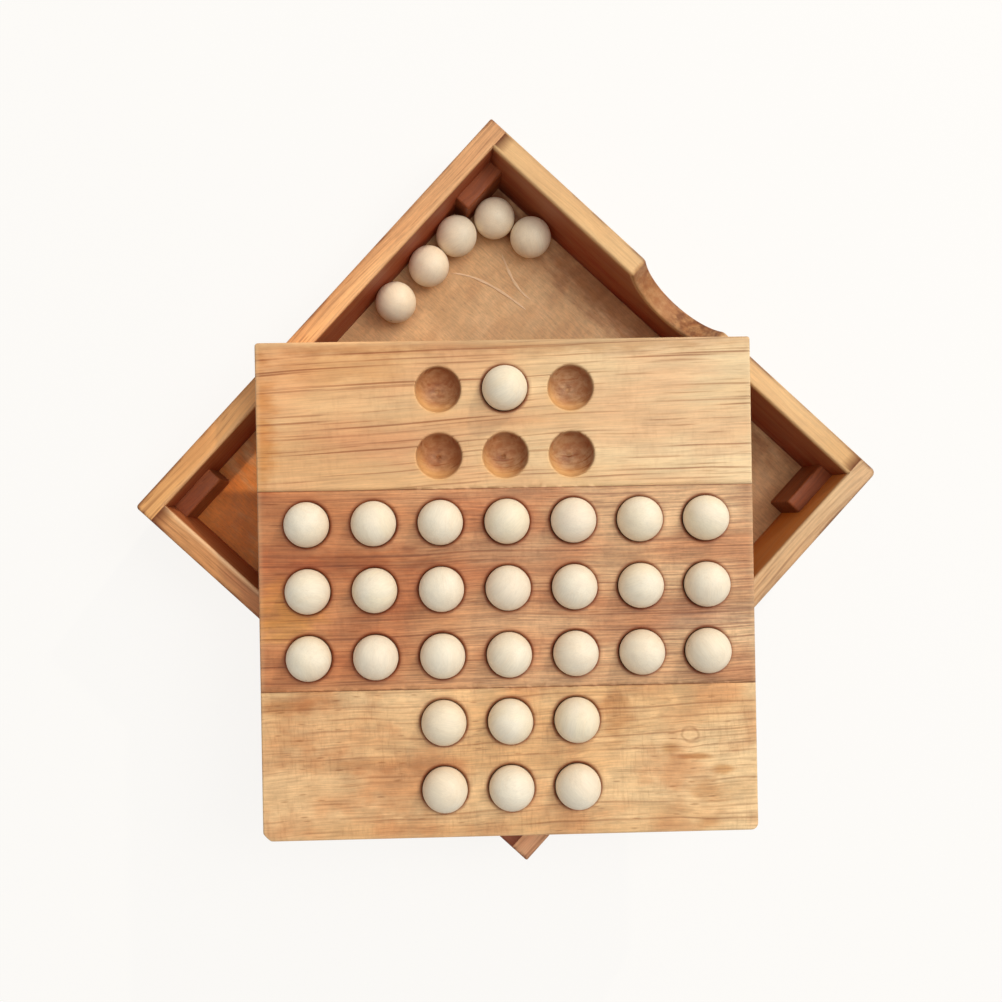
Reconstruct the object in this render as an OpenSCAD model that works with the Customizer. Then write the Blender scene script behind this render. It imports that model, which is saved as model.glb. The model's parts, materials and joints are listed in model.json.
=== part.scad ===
// Solitaire set: a square playing board with round hollows and wooden balls, lying turned
// across the open tray that it closes and that stores the balls.
// Lengths are in millimetres and angles in degrees. The origin is at the centre of the tray's
// underside, +Z is up, and the wall with the finger notch is the front, which faces -Y.

/* [Tray] */
// Outside length of each side of the square tray
tray_side = 140; // [132:1:180]
// Thickness of the four wall boards
wall_t = 5.5; // [4.5:0.5:9]
// Radius of the tray's four upright outer corners
tray_corner_r = 1; // [0.6:0.1:4]
// Thickness of the floor panel, which is also the height of the rebate that it is glued into
floor_t = 3; // [2:0.5:6]
// How far the rebate cuts under each wall
rebate_w = 3; // [1:0.5:3.5]
// Gap between the edge of the floor panel and the side of its rebate
floor_gap = 0.2; // [0.1:0.1:0.8]
// Room above the stored balls when the board closes the tray
ball_headroom = 1.5; // [0.5:0.5:12]

/* [Rest blocks] */
// Length of a rest block along the side wall that it is glued to
block_l = 14; // [6:0.5:24]
// Width of a rest block across the tray
block_w = 4.5; // [3:0.5:9]
// Bevel along the upper inside edges of a rest block
block_bevel = 0.6; // [0.2:0.1:1.5]

/* [Finger notch] */
// Width of the notch at the rim
notch_w = 28; // [20:1:60]
// Depth of the notch below the rim
notch_depth = 9.5; // [5:0.5:10]

/* [Playing board] */
// Thickness of the board
board_t = 10; // [7.5:0.5:16]
// Gap between the board and each wall when it closes the tray
board_gap = 1; // [0.3:0.1:2]
// Radius of the board's four upright corners
board_corner_r = 1.5; // [0.6:0.1:5]
// Distance between neighbouring hollows
hole_pitch = 17; // [14.5:0.5:18]
// Depth of a hollow at its centre
hollow_depth = 5.1; // [3:0.1:5.8]
// Gap round a ball in its hollow, measured on the radius
hollow_play = 0.25; // [0.2:0.05:0.9]
// Width of the mark that the cutter's point leaves in the middle of a hollow
point_d = 1.4; // [0.6:0.1:2.4]
// Depth of that mark below the hollow
point_depth = 0.5; // [0.2:0.1:0.8]
// Bevel that breaks the sharp edges of the board and the tray
edge_ease = 0.5; // [0.2:0.1:0.9]

/* [Balls] */
// Diameter of a ball
ball_d = 11.5; // [11:0.5:13]
// Hair gap between a ball and what it lies on or against
ball_gap = 0.12; // [0.05:0.01:0.3]
// Distance that the second ball from the corner stands off the front wall, past the first one
ball_stagger = 3; // [0.5:0.1:4]
// Gap before the last ball of the row along the side wall
ball_stray = 2.3; // [0.3:0.1:3]

/* [How the board lies] */
// Turn of the board on the tray
board_turn = 43.3; // [0:0.1:90]
// Place of the board's centre to the right of the tray's centre
board_x = -16.2; // [-30:0.1:30]
// Place of the board's centre behind the tray's centre
board_y = 19.7; // [-30:0.1:30]

/* [Hidden] */
$fn = 96;
over = 1; // how far a cutter runs past the face that it cuts

pale_wood = "#dca86e";
russet_wood = "#bd8052";
wall_wood = "#d2a063";
floor_wood = "#b98b5b";
block_wood = "#8a5a3a";
ball_wood = "#f1e3c8";

inside = tray_side - 2 * wall_t; // clear length between facing walls
seat_z = floor_t + ball_d + ball_headroom; // top of the rest blocks
rim_z = seat_z + board_t; // top of the walls, level with a board that lies on the blocks
notch_r = (notch_w * notch_w / 4 + notch_depth * notch_depth) / (2 * notch_depth);

board_side = inside - 2 * board_gap;
middle_w = 3 * hole_pitch; // the middle strip carries the three long rows
ball_r = ball_d / 2;
hollow_r = ball_r + hollow_play;

// The cross of hollows, as [column, row] counted from the middle of the board.
arm_count = 3;
steps = [-arm_count:arm_count];
holes = [for (row = steps) for (col = steps) if (abs(col) <= 1 || abs(row) <= 1) [col, row]];
// The second row is empty, and one ball is left in the middle of the first.
function is_empty(hole) = hole.y == 1 - arm_count || (hole.y == -arm_count && hole.x != 0);
filled_holes = [for (h = holes) if (!is_empty(h)) h];

// The five balls taken off the board lie in the tray's front right corner: the first touches the
// front wall, the second the rest block there, and the others run back along the right wall.
ball_step = ball_d + ball_gap;
reach = inside / 2 - ball_r - ball_gap; // centre of a ball that touches a wall
block_x = inside / 2 - block_w - ball_r - ball_gap;
second_y = ball_stagger - reach;
first_x = block_x - sqrt(pow(ball_step, 2) - pow(ball_stagger, 2));
third_y = max(
  second_y + sqrt(pow(ball_step, 2) - pow(reach - block_x, 2)),
  block_l + ball_r + ball_gap - inside / 2
);
taken_balls = [
  [first_x, -reach],
  [block_x, second_y],
  [reach, third_y],
  [reach, third_y + ball_step],
  [reach, third_y + 2 * ball_step + ball_stray]
];

function ball_name(hole) = str("ball_row", hole.y + arm_count + 1, "_col", hole.x + arm_count + 1);
function taken_name(i) = str("taken_ball_", i + 1);

// Points of a square block's side view, with its top and foot edges bevelled. A negative top
// flares outwards, for cutting a bevelled mouth.
function side_view(side, height, top, foot) = concat(
  foot > 0 ? [[foot - side / 2, 0], [side / 2 - foot, 0], [side / 2, foot]] : [[-side / 2, 0], [side / 2, 0]],
  [[side / 2, height - abs(top)], [side / 2 - top, height]],
  [[top - side / 2, height], [-side / 2, height - abs(top)]],
  foot > 0 ? [[-side / 2, foot]] : []
);

// A square block with bevelled edges: what two crossing bars have in common.
module eased_block(side, height, top, foot = 0) {
  intersection() {
    bevelled_bar(0, side, height, top, foot);
    bevelled_bar(90, side, height, top, foot);
  }
}

module bevelled_bar(turn, side, height, top, foot) {
  rotate([90, 0, turn])
    linear_extrude(2 * side, center = true)
      polygon(side_view(side, height, top, foot));
}

// A square upright prism with round corners.
module rounded_prism(side, corner_r, height) {
  flat = side - 2 * corner_r;
  linear_extrude(height) {
    square([flat, side], center = true);
    square([side, flat], center = true);
    for (x = [-1, 1], y = [-1, 1])
      translate([x * flat / 2, y * flat / 2])
        circle(corner_r);
  }
}

// The glued-up frame of the tray, before it is split into its four boards.
module tray_frame() {
  difference() {
    intersection() {
      eased_block(tray_side, rim_z, edge_ease, edge_ease);
      rounded_prism(tray_side, tray_corner_r, rim_z);
    }
    translate([0, 0, -over])
      eased_block(inside, rim_z + 2 * over, -edge_ease - over);
    translate([0, 0, floor_t / 2 - over / 2])
      cube([inside + 2 * rebate_w, inside + 2 * rebate_w, floor_t + over], center = true);
    translate([0, -(tray_side - wall_t) / 2, rim_z - notch_depth + notch_r])
      rotate([90, 0, 0])
        notch_cutter();
  }
}

// The round scoop through the front wall, with its edges broken on both faces.
module notch_cutter() {
  mouth = edge_ease + over;
  cylinder(r = notch_r, h = wall_t + 2 * over, center = true);
  for (side = [-1, 1])
    mirror([0, 0, side < 0 ? 1 : 0])
      translate([0, 0, wall_t / 2 - edge_ease])
        cylinder(r1 = notch_r, r2 = notch_r + mouth, h = mouth);
}

// A short wall runs between the two side walls: side is -1 for the front and 1 for the back.
module short_wall(side) {
  color(wall_wood)
    intersection() {
      tray_frame();
      translate([0, side * (tray_side - wall_t) / 2, rim_z / 2])
        cube([inside, wall_t, rim_z], center = true);
    }
}

// A side wall runs the full length and shows its end grain: side is -1 for left and 1 for right.
module side_wall(side) {
  color(wall_wood)
    intersection() {
      tray_frame();
      translate([side * (tray_side - wall_t) / 2, 0, rim_z / 2])
        cube([wall_t, tray_side, rim_z], center = true);
    }
}

module floor_panel() {
  panel = inside + 2 * rebate_w - 2 * floor_gap;
  color(floor_wood)
    translate([0, 0, floor_t / 2])
      cube([panel, panel, floor_t], center = true);
}

// A block glued into a corner of the tray, which carries that corner of the closed board.
module rest_block(side_x, side_y) {
  height = seat_z - floor_t;
  color(block_wood)
    translate([side_x * inside / 2, side_y * inside / 2, floor_t])
      mirror([side_x < 0 ? 0 : 1, 0, 0])
        mirror([0, side_y < 0 ? 0 : 1, 0])
          difference() {
            cube([block_w, block_l, height]);
            translate([block_w, -over, height])
              rotate([-90, 0, 0])
                block_edge_cutter(block_l + 2 * over);
            translate([-over, block_l, height])
              rotate([0, 90, 0])
                block_edge_cutter(block_w + 2 * over);
          }
}

// A square bar on edge, which takes the bevel off an edge that runs along its axis.
module block_edge_cutter(length) {
  linear_extrude(length)
    polygon([[block_bevel, 0], [0, block_bevel], [-block_bevel, 0], [0, -block_bevel]]);
}

// Places what is modelled on the board's own underside where the board lies on the rim.
module on_the_rim() {
  translate([board_x, board_y, rim_z])
    rotate([0, 0, board_turn])
      children();
}

// One of the three strips that the board is glued up from, between two lines across the board.
module board_strip(from_y, to_y, wood) {
  color(wood)
    on_the_rim()
      difference() {
        intersection() {
          eased_block(board_side, board_t, edge_ease, edge_ease);
          rounded_prism(board_side, board_corner_r, board_t);
          translate([-board_side / 2, from_y, 0])
            cube([board_side, to_y - from_y, board_t]);
        }
        for (h = holes)
          if (h.y * hole_pitch > from_y && h.y * hole_pitch < to_y)
            translate([h.x * hole_pitch, h.y * hole_pitch, board_t - hollow_depth])
              hollow_cutter();
      }
}

// The round-nosed cutter, standing with its nose on the origin and its point just below.
module hollow_cutter() {
  translate([0, 0, hollow_r])
    sphere(hollow_r);
  translate([0, 0, -point_depth])
    cylinder(r1 = 0, r2 = point_d, h = 2 * point_depth);
}

module ball_in_hole(hole) {
  color(ball_wood)
    on_the_rim()
      translate([hole.x * hole_pitch, hole.y * hole_pitch, board_t - hollow_depth + ball_gap + ball_r])
        sphere(ball_r);
}

module taken_ball(place) {
  color(ball_wood)
    translate([place.x, place.y, floor_t + ball_gap + ball_r])
      sphere(ball_r);
}

short_wall(-1);  // front_wall
short_wall(1);  // back_wall
side_wall(-1);  // left_wall
side_wall(1);  // right_wall
floor_panel();
rest_block(-1, -1);  // rest_block_front_left
rest_block(1, -1);  // rest_block_front_right
rest_block(-1, 1);  // rest_block_back_left
rest_block(1, 1);  // rest_block_back_right
board_strip(-board_side / 2, -middle_w / 2, pale_wood);  // board_strip_first
board_strip(-middle_w / 2, middle_w / 2, russet_wood);  // board_strip_middle
board_strip(middle_w / 2, board_side / 2, pale_wood);  // board_strip_last
for (h = filled_holes)
  ball_in_hole(h);
for (i = [0:len(taken_balls) - 1])
  taken_ball(taken_balls[i]);
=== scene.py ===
# %% [markdown]
# # A solitaire board lying across its tray
# The real object is a small wooden game: a square playing board with a cross of round hollows, the
# balls that sit in them, and an open tray that stores the balls and that the board closes. The CAD
# model already holds every piece at its true size. This lesson gives each piece its worked wood:
# eased edges, cut hollows, grain that runs through the plank, and balls with their own turned grain.

# %% Load the fixed frame
import json
import math

import bpy
import numpy as np
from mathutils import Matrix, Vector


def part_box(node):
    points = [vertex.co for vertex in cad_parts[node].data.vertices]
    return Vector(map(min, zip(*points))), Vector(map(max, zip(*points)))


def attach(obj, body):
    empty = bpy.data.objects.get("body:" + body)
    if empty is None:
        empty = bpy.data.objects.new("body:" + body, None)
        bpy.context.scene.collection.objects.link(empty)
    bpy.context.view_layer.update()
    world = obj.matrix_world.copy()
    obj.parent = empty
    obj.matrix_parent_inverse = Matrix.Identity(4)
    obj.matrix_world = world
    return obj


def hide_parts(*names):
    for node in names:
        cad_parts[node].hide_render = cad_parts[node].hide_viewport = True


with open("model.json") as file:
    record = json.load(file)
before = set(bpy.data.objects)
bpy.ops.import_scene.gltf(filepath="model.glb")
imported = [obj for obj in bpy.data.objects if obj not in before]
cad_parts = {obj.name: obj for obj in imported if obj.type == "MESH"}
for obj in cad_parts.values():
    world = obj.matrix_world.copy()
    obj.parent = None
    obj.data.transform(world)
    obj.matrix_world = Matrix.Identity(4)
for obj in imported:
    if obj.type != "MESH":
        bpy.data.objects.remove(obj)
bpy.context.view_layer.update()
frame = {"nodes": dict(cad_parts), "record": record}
MM = 0.001  # the frame is in metres, and this lesson thinks in millimetres

# %% [markdown]
# ## Sizes come from the frame
# A maker measures the parts before dressing them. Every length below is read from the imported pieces:
# the tray from a side wall and the floor, the board from the balls that lie on it. Three balls of the
# middle row give the board's centre, its turn and the distance between hollows, whatever way it lies.

# %% Measure the tray and the board
BOARD_CORNER = 1.5  # radius of the board's upright corners in the CAD model
FLOOR_GAP = 0.2  # gap round the floor panel in its rebate
HOLLOW_PLAY = 0.25  # gap round a ball in its hollow
BALL_GAP = 0.12  # hair gap under a ball


def span(node):
    """Lowest and highest corner of a CAD piece, in millimetres."""
    low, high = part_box(node)
    return np.round(np.array(low) / MM, 4), np.round(np.array(high) / MM, 4)


def middle(node):
    """Centre of a CAD piece's box, in millimetres."""
    low, high = span(node)
    return (low + high) / 2


wall_low, wall_high = span("right_wall")
tray_half, inside_half, rim = wall_high[0], wall_low[0], wall_high[2]
floor_high = span("floor_panel")[1]
floor_top, rebate_half = floor_high[2], floor_high[0] + FLOOR_GAP

long_row = middle("ball_row4_col7") - middle("ball_row4_col1")
pitch = np.hypot(long_row[0], long_row[1]) / 6  # six steps from the first ball to the last
board_turn = math.atan2(long_row[1], long_row[0])
board_middle = middle("ball_row4_col4")[:2]
STRIPS = ("board_strip_first", "board_strip_middle", "board_strip_last")
board_low, board_top = span(STRIPS[1])[0][2], span(STRIPS[1])[1][2]
spread = max(span(n)[1][0] for n in STRIPS) - min(span(n)[0][0] for n in STRIPS)
turned_unit = abs(math.cos(board_turn)) + abs(math.sin(board_turn))
board_half = (spread - 2 * BOARD_CORNER) / turned_unit / 2 + BOARD_CORNER
ball_low, ball_high = span("ball_row4_col4")
ball_radius = (ball_high[2] - ball_low[2]) / 2
hollow_radius = ball_radius + HOLLOW_PLAY
hollow_depth = board_top - ball_low[2] + BALL_GAP
print(f"tray {2 * tray_half:.1f} mm, rim {rim:.1f} mm, board {2 * board_half:.1f} mm")
print(f"board turned {math.degrees(board_turn):.2f} degrees, its middle at", board_middle.round(2))
print(f"hollows every {pitch:.2f} mm, balls {2 * ball_radius:.2f} mm")

# %% [markdown]
# ## The camera
# The set is seen from almost straight above, from nearly thirty centimetres over the table, with a corner
# of the tray pointing up. The eye's place is written along the picture's own right and up directions and
# is then turned with the tray. A small lens shift keeps the set where it sits in the frame.

# %% Set the camera
TRAY_TURN = 222.266  # degrees from the picture's right to the tray's +X
EYE = np.array([-23.82, -8.77, 280.26])  # mm to the right, up and towards the viewer
EYE_TILT = (0.025, -1.22)  # degrees about the picture's right and up
FOCAL = 957.3  # pixels of a picture that is 1002 wide
AXIS = (440, 522)  # pixel that the lens looks straight at
PICTURE = 1002  # pixels
SENSOR = 36.0  # mm


def picture_to_tray(right, up):
    """Turn picture directions into the tray's x and y: a plain rotation by TRAY_TURN."""
    turn = math.radians(TRAY_TURN)
    return right * math.cos(turn) - up * math.sin(turn), right * math.sin(turn) + up * math.cos(turn)


camera = bpy.data.objects.new("camera", bpy.data.cameras.new("camera"))
bpy.context.scene.collection.objects.link(camera)
camera.location = np.array([*picture_to_tray(EYE[0], EYE[1]), EYE[2]]) * MM
camera.rotation_euler = [math.radians(a) for a in (*EYE_TILT, TRAY_TURN)]
camera.data.sensor_width = SENSOR
camera.data.lens = FOCAL / PICTURE * SENSOR
camera.data.shift_x = (PICTURE / 2 - AXIS[0]) / PICTURE
camera.data.shift_y = (AXIS[1] - PICTURE / 2) / PICTURE
camera.data.clip_start = 0.01  # metres
bpy.context.scene.camera = camera
shift = round(camera.data.shift_x, 3), round(camera.data.shift_y, 3)
print("lens", round(camera.data.lens, 2), "mm, shift", shift)

# %% [markdown]
# ## A plank as a lattice
# Every flat board here is sawn from one plank, so one tool makes them all. The plank is cut into cells
# by lines along x, y and z, and each cell is wood or air. Wherever wood meets air, the lattice face
# becomes one quad of the skin. A rebate or a notch is only a change of cells, the skin is always
# closed, and the close lines beside each edge leave points to round the edge with.

# %% Cut lines, lattice skin and eased edges
NEAR_EDGE = np.array([0, 0.15, 0.3, 0.45, 0.65, 0.95, 1.4, 2.0, 2.7])  # mm from an edge
SAME = 1e-6  # mm below which two places count as one
CLOSE = 1e-3  # mm, more than rounding moves a cut


def cut_lines(low, high, step, keep=()):
    """Places of the cuts across a plank: close together by both edges, about step apart between."""
    near = NEAR_EDGE[NEAR_EDGE < 0.48 * (high - low)]
    count = max(1, round((high - low - 2 * near[-1]) / step))
    between = np.linspace(low + near[-1], high - near[-1], count + 1)
    return np.unique(np.round(np.concatenate([low + near, between, high - near, keep]), 4))


def cell_middles(lines):
    """Centres of the lattice cells as three arrays that broadcast together."""
    return np.meshgrid(*[(line[1:] + line[:-1]) / 2 for line in lines], indexing="ij", sparse=True)


def lattice_skin(lines, wood):
    """Points and outward quads of the skin of the cells that are wood.

    Along each axis, the step of the padded wood array is +1 where wood begins and -1 where it ends.
    Each step is one quad on the other two axes, wound so that its normal points to the air.
    """
    size = [len(line) for line in lines]
    solid = np.pad(wood.astype(int), 1)
    quads = []
    for a in range(3):
        b, c = (a + 1) % 3, (a + 2) % 3
        for sign in (-1, 1):
            corner = np.argwhere(np.diff(solid, axis=a) == sign)
            corner[:, b] -= 1
            corner[:, c] -= 1
            ring = np.repeat(corner[:, None, :], 4, axis=1)
            ring[:, :, b] += np.array([0, 1, 1, 0])
            ring[:, :, c] += np.array([0, 0, 1, 1])
            quads.append(ring if sign < 0 else ring[:, ::-1])
    number = np.concatenate(quads) @ np.array([size[1] * size[2], size[2], 1])
    used, quads = np.unique(number, return_inverse=True)
    index = np.unravel_index(used, size)
    return np.stack([line[i] for line, i in zip(lines, index)], axis=1), quads.reshape(-1, 4)


def rounding(a, b, near, sharpness=2.0):
    """Share max(a, b) / (a^n + b^n)^(1/n) by which the pair (a, b) shrinks where it is near, else 1.

    Here a and b are the distances by which a point lies inside the rounding. A sharpness n of 2 gives a
    round, and near 1 a flat bevel.
    """
    length = (a**sharpness + b**sharpness) ** (1 / sharpness)
    return np.where(near, np.maximum(a, b) / np.where(near, length, 1), 1)


def ease_edge(points, first, second, radius, sharpness=2.0):
    """Round the straight edge between two flat sides, each given as (axis, place, sign)."""
    (i, at_i, sign_i), (j, at_j, sign_j) = first, second
    a = np.maximum(radius - sign_i * (at_i - points[:, i]), 0)
    b = np.maximum(radius - sign_j * (at_j - points[:, j]), 0)
    shrink = rounding(a, b, (a > SAME) & (b > SAME), sharpness)
    moved = points.copy()
    moved[:, i] += sign_i * a * (shrink - 1)
    moved[:, j] += sign_j * b * (shrink - 1)
    return moved


def ease_rim(points, half, edge_z, sign_z, radius, hole=False):
    """Round a whole square rim at once: the outside of a block, or the mouth of a square hole.

    A point's inset is its distance from the square, and its depth the distance from the rim's plane.
    Both are shortened as for one edge, and every coordinate that lies on the inset square moves.
    """
    out = np.abs(points[:, :2]) - half
    reach = out if hole else -out
    inset = reach.max(axis=1) if hole else reach.min(axis=1)
    a = np.maximum(radius - inset, 0)
    b = np.maximum(radius - sign_z * (edge_z - points[:, 2]), 0)
    near = (a > SAME) & (b > SAME) & (inset > -SAME)
    shrink = rounding(a, b, near)
    push = np.where(near, a * (1 - shrink), 0)
    on_square = np.abs(reach - inset[:, None]) < SAME + (0 if hole else push[:, None])
    move = (inset + push)[:, None] - reach
    moved = points.copy()
    moved[:, :2] += np.sign(points[:, :2]) * np.where(on_square, move if hole else -move, 0)
    moved[:, 2] += np.where(near, sign_z * b * (shrink - 1), 0)
    return moved


def ring_quads(rings, count):
    """Quads between closed rings of count points: k, k + count, and the next point of each."""
    start = np.arange(rings - 1)[:, None] * count
    first, after = start + np.arange(count), start + (np.arange(count) + 1) % count
    return np.stack([first, first + count, after + count, after], axis=2).reshape(-1, 4)


probe, probe_quads = lattice_skin([np.arange(3.0)] * 3, np.ones((2, 2, 2), bool))
print("a plank of 8 cells has", len(probe), "points and", len(probe_quads), "quads")

# %% [markdown]
# ## From arrays to a piece
# A finished skin becomes a mesh at the origin with its place in its points, so that a grain pattern on
# Object coordinates stays fixed in the wood. Small numbers on the points tell the finish what happened
# there: how worn an edge is, where a glue line runs, where the cutter went, and where light or shade is
# painted. The piece then stands for its CAD node and rides on the same body.

# %% Make a piece and let it stand for its CAD node
BODY_OF = {n: body for body, nodes in frame["record"]["behaviour"]["bodies"].items() for n in nodes}


def make_mesh(name, points, faces, marks):
    """One smooth mesh from points in mm and faces, with one number or vector per point for each mark."""
    mesh = bpy.data.meshes.new(name)
    mesh.from_pydata((points * MM).tolist(), [], [list(f) for f in faces])
    for mark, values in marks.items():
        values = np.broadcast_to(np.asarray(values, np.float32), (len(points), *np.shape(values)[1:]))
        kind, field = ("FLOAT", "value") if values.ndim == 1 else ("FLOAT_VECTOR", "vector")
        layer = mesh.attributes.new(mark, kind, "POINT")
        layer.data.foreach_set(field, np.ascontiguousarray(values).ravel())
    mesh.polygons.foreach_set("use_smooth", np.ones(len(mesh.polygons), bool))
    mesh.update()
    return mesh


def place_piece(name, points, faces, body, slot, material, node=None, **marks):
    """Put a piece into the scene on its body, with its finish and the CAD node that it stands for."""
    piece = bpy.data.objects.new(name, make_mesh(name, points, faces, marks))
    bpy.context.scene.collection.objects.link(piece)
    piece.data.materials.append(material)
    if node:
        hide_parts(node)
    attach(piece, body)


print("bodies that carry pieces:", len(set(BODY_OF.values())))

# %% [markdown]
# ## Node helpers
# Finishes are node trees, and trees written link by link are hard to read. These few helpers let a
# finish be written as a formula: each takes sockets or plain values and returns the socket it makes.

# %% Write node trees as formulas
def linear(red, green, blue):
    """Colour as an eye reads it from 0 to 255, as the linear light that a shader takes."""
    share = np.array([red, green, blue]) / 255
    light = np.where(share <= 0.04045, share / 12.92, ((share + 0.055) / 1.055) ** 2.4)
    return (*light.tolist(), 1.0)


def feed(tree, socket, value):
    """Link a socket to an input, or set the input's own value."""
    if isinstance(value, bpy.types.NodeSocket):
        tree.links.new(value, socket)
    else:
        socket.default_value = value


def make_node(tree, kind, inputs, output=0, **settings):
    """Make a node, set it up, feed its inputs by name or number and return one of its outputs."""
    made = tree.nodes.new("ShaderNode" + kind)
    for name, value in settings.items():
        setattr(made, name, value)
    for key, value in inputs.items():
        feed(tree, made.inputs[key], value)
    return made.outputs[output]


def maths(tree, operation, *terms):
    """One step of arithmetic on values."""
    return make_node(tree, "Math", dict(enumerate(terms)), operation=operation)


def times(tree, first, second):
    """Product of two values."""
    return maths(tree, "MULTIPLY", first, second)


def vector_maths(tree, operation, *terms, output="Vector"):
    """One step of arithmetic on vectors."""
    return make_node(tree, "VectorMath", dict(enumerate(terms)), output, operation=operation)


def along(tree, vector, direction):
    """Length of a vector along a direction."""
    return vector_maths(tree, "DOT_PRODUCT", vector, direction, output="Value")


def scaled(tree, vector, factor):
    """A vector or colour times a value."""
    return make_node(tree, "VectorMath", {0: vector, "Scale": factor}, "Vector", operation="SCALE")


def fade(tree, value, start, end, low=0.0, high=1.0):
    """Smooth step from low to high while the value goes from start to end."""
    span_in, span_out = {"From Min": start, "From Max": end}, {"To Min": low, "To Max": high}
    inputs = {"Value": value} | span_in | span_out
    return make_node(tree, "MapRange", inputs, "Result", interpolation_type="SMOOTHSTEP")


def mix(tree, share, first, second, kind="MIX"):
    """Two colours mixed by a share."""
    return make_node(tree, "Mix", {0: share, 6: first, 7: second}, 2, data_type="RGBA", blend_type=kind)


def noise(tree, place, stretch, detail=2.0, rough=0.5, output="Fac"):
    """Cloudy noise, with stretch the number of waves per millimetre along x, y and z."""
    place = vector_maths(tree, "MULTIPLY", place, stretch)
    inputs = {"Vector": place, "Scale": 1.0, "Detail": detail, "Roughness": rough}
    return make_node(tree, "TexNoise", inputs, output)


def sheets(tree, value, per_mm, half_width):
    """Thin sheets at uneven distances along a value: 1 up to 0.5 half widths, fading to 0 at 1.6."""
    inputs = {"W": times(tree, value, per_mm), "Scale": 1.0}
    away = make_node(tree, "TexVoronoi", inputs, "Distance", voronoi_dimensions="1D")
    return fade(tree, away, 0.5 * half_width * per_mm, 1.6 * half_width * per_mm, 1.0, 0.0)


def cells(tree, place, stretch):
    """Distance from scattered spots and one random colour per spot, with stretch as in noise."""
    place = vector_maths(tree, "MULTIPLY", place, stretch)
    away = make_node(tree, "TexVoronoi", {"Vector": place, "Scale": 1.0}, "Distance")
    return away, away.node.outputs["Color"]


def mark(tree, name, output="Fac"):
    """A number or vector that the mesh carries on its points."""
    return make_node(tree, "Attribute", {}, output, attribute_name=name)


def new_group(name, inputs, outputs):
    """An empty shader group with named sockets: returns its tree, its inputs and its outputs."""
    tree = bpy.data.node_groups.new(name, "ShaderNodeTree")
    for direction, sockets in (("INPUT", inputs), ("OUTPUT", outputs)):
        for socket, kind in sockets.items():
            tree.interface.new_socket(socket, in_out=direction, socket_type="NodeSocket" + kind)
    return tree, tree.nodes.new("NodeGroupInput").outputs, tree.nodes.new("NodeGroupOutput").inputs


print("the tan of the wood in linear light:", np.round(linear(222, 170, 112), 3))

# %% [markdown]
# ## Grain that runs through the plank
# The boards are a tan hardwood with open pores: broad tones, thin dark lines gathered in bands, fine lines
# between them, short pore dashes, and in places faint marks across from sawing. A flat picture of wood
# would break at each edge, so the grain is solid: noise in the plank's own millimetres, stretched along x,
# so that faces, edges, hollows and end grain all cut through the same wood. The dark lines are thin sheets
# that slant through the plank at uneven distances. Every plank uses this group with its own colours and
# amounts, and so do the balls.

# %% Build the plank grain group
GRAIN_SOCKETS = {
    "Place": "Vector", "Pale": "Color", "Deep": "Color", "Flush": "Color", "Streak": "Color",
    "Lines": "Float",
    "Fine": "Float", "Pores": "Float", "Hatch": "Float", "Blotch": "Float", "Sway": "Float", "End": "Float",
}
MIDDLE_GREY = (0.5, 0.5, 0.5)
SHEET_SLANT = (0.0, 1.0, 0.8)  # direction across the sheets of dark wood


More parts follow.
